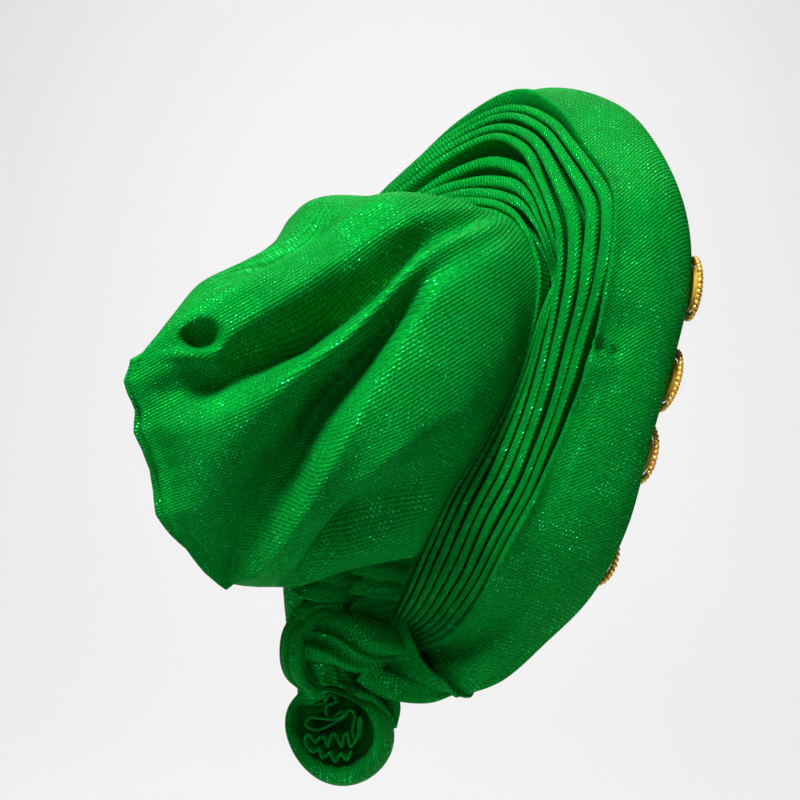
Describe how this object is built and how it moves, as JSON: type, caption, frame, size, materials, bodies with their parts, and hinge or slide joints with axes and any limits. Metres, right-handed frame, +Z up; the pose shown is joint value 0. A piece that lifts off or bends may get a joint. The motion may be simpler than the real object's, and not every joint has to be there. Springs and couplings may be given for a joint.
{
  "type": "tied gele head tie",
  "caption": "Pre-tied gele head tie of green brocade: a halo brim with stepped pleats, a hollow crown bag, a nape knot with a ruffled tail, and medallions in gold braid on the brim's front.",
  "frame": {"origin": "the point on the top of the wearer's head where the crown sits", "axes": "+Z up, the wearer faces -Y, the wearer's right is at -X"},
  "size_m": [0.3054, 0.3598, 0.4335],
  "materials": {
    "green_brocade": "green brocade with a raised bird's-eye weave and fine metallic specks",
    "gold_braid": "gold beaded braid",
    "yellow_cloth": "padded yellow satin cloth"
  },
  "bodies": {
    "root": {"brim_band": "green_brocade", "pleat_1": "green_brocade", "pleat_2": "green_brocade", "pleat_3": "green_brocade", "pleat_4": "green_brocade", "pleat_5": "green_brocade", "pleat_6": "green_brocade", "pleat_7": "green_brocade", "pleat_8": "green_brocade", "crown_bag": "green_brocade", "knot": "green_brocade", "cuff_right": "green_brocade", "cuff_left": "green_brocade", "tail_roll": "green_brocade", "tail_ruffle": "green_brocade", "tail_short": "green_brocade", "medallion_1": "yellow_cloth", "braid_1": "gold_braid", "medallion_2": "yellow_cloth", "braid_2": "gold_braid", "medallion_3": "yellow_cloth", "braid_3": "gold_braid", "medallion_4": "yellow_cloth", "braid_4": "gold_braid", "medallion_5": "yellow_cloth", "braid_5": "gold_braid", "medallion_6": "yellow_cloth", "braid_6": "gold_braid", "medallion_7": "yellow_cloth", "braid_7": "gold_braid", "medallion_8": "yellow_cloth", "braid_8": "gold_braid"}
  },
  "joints": []
}
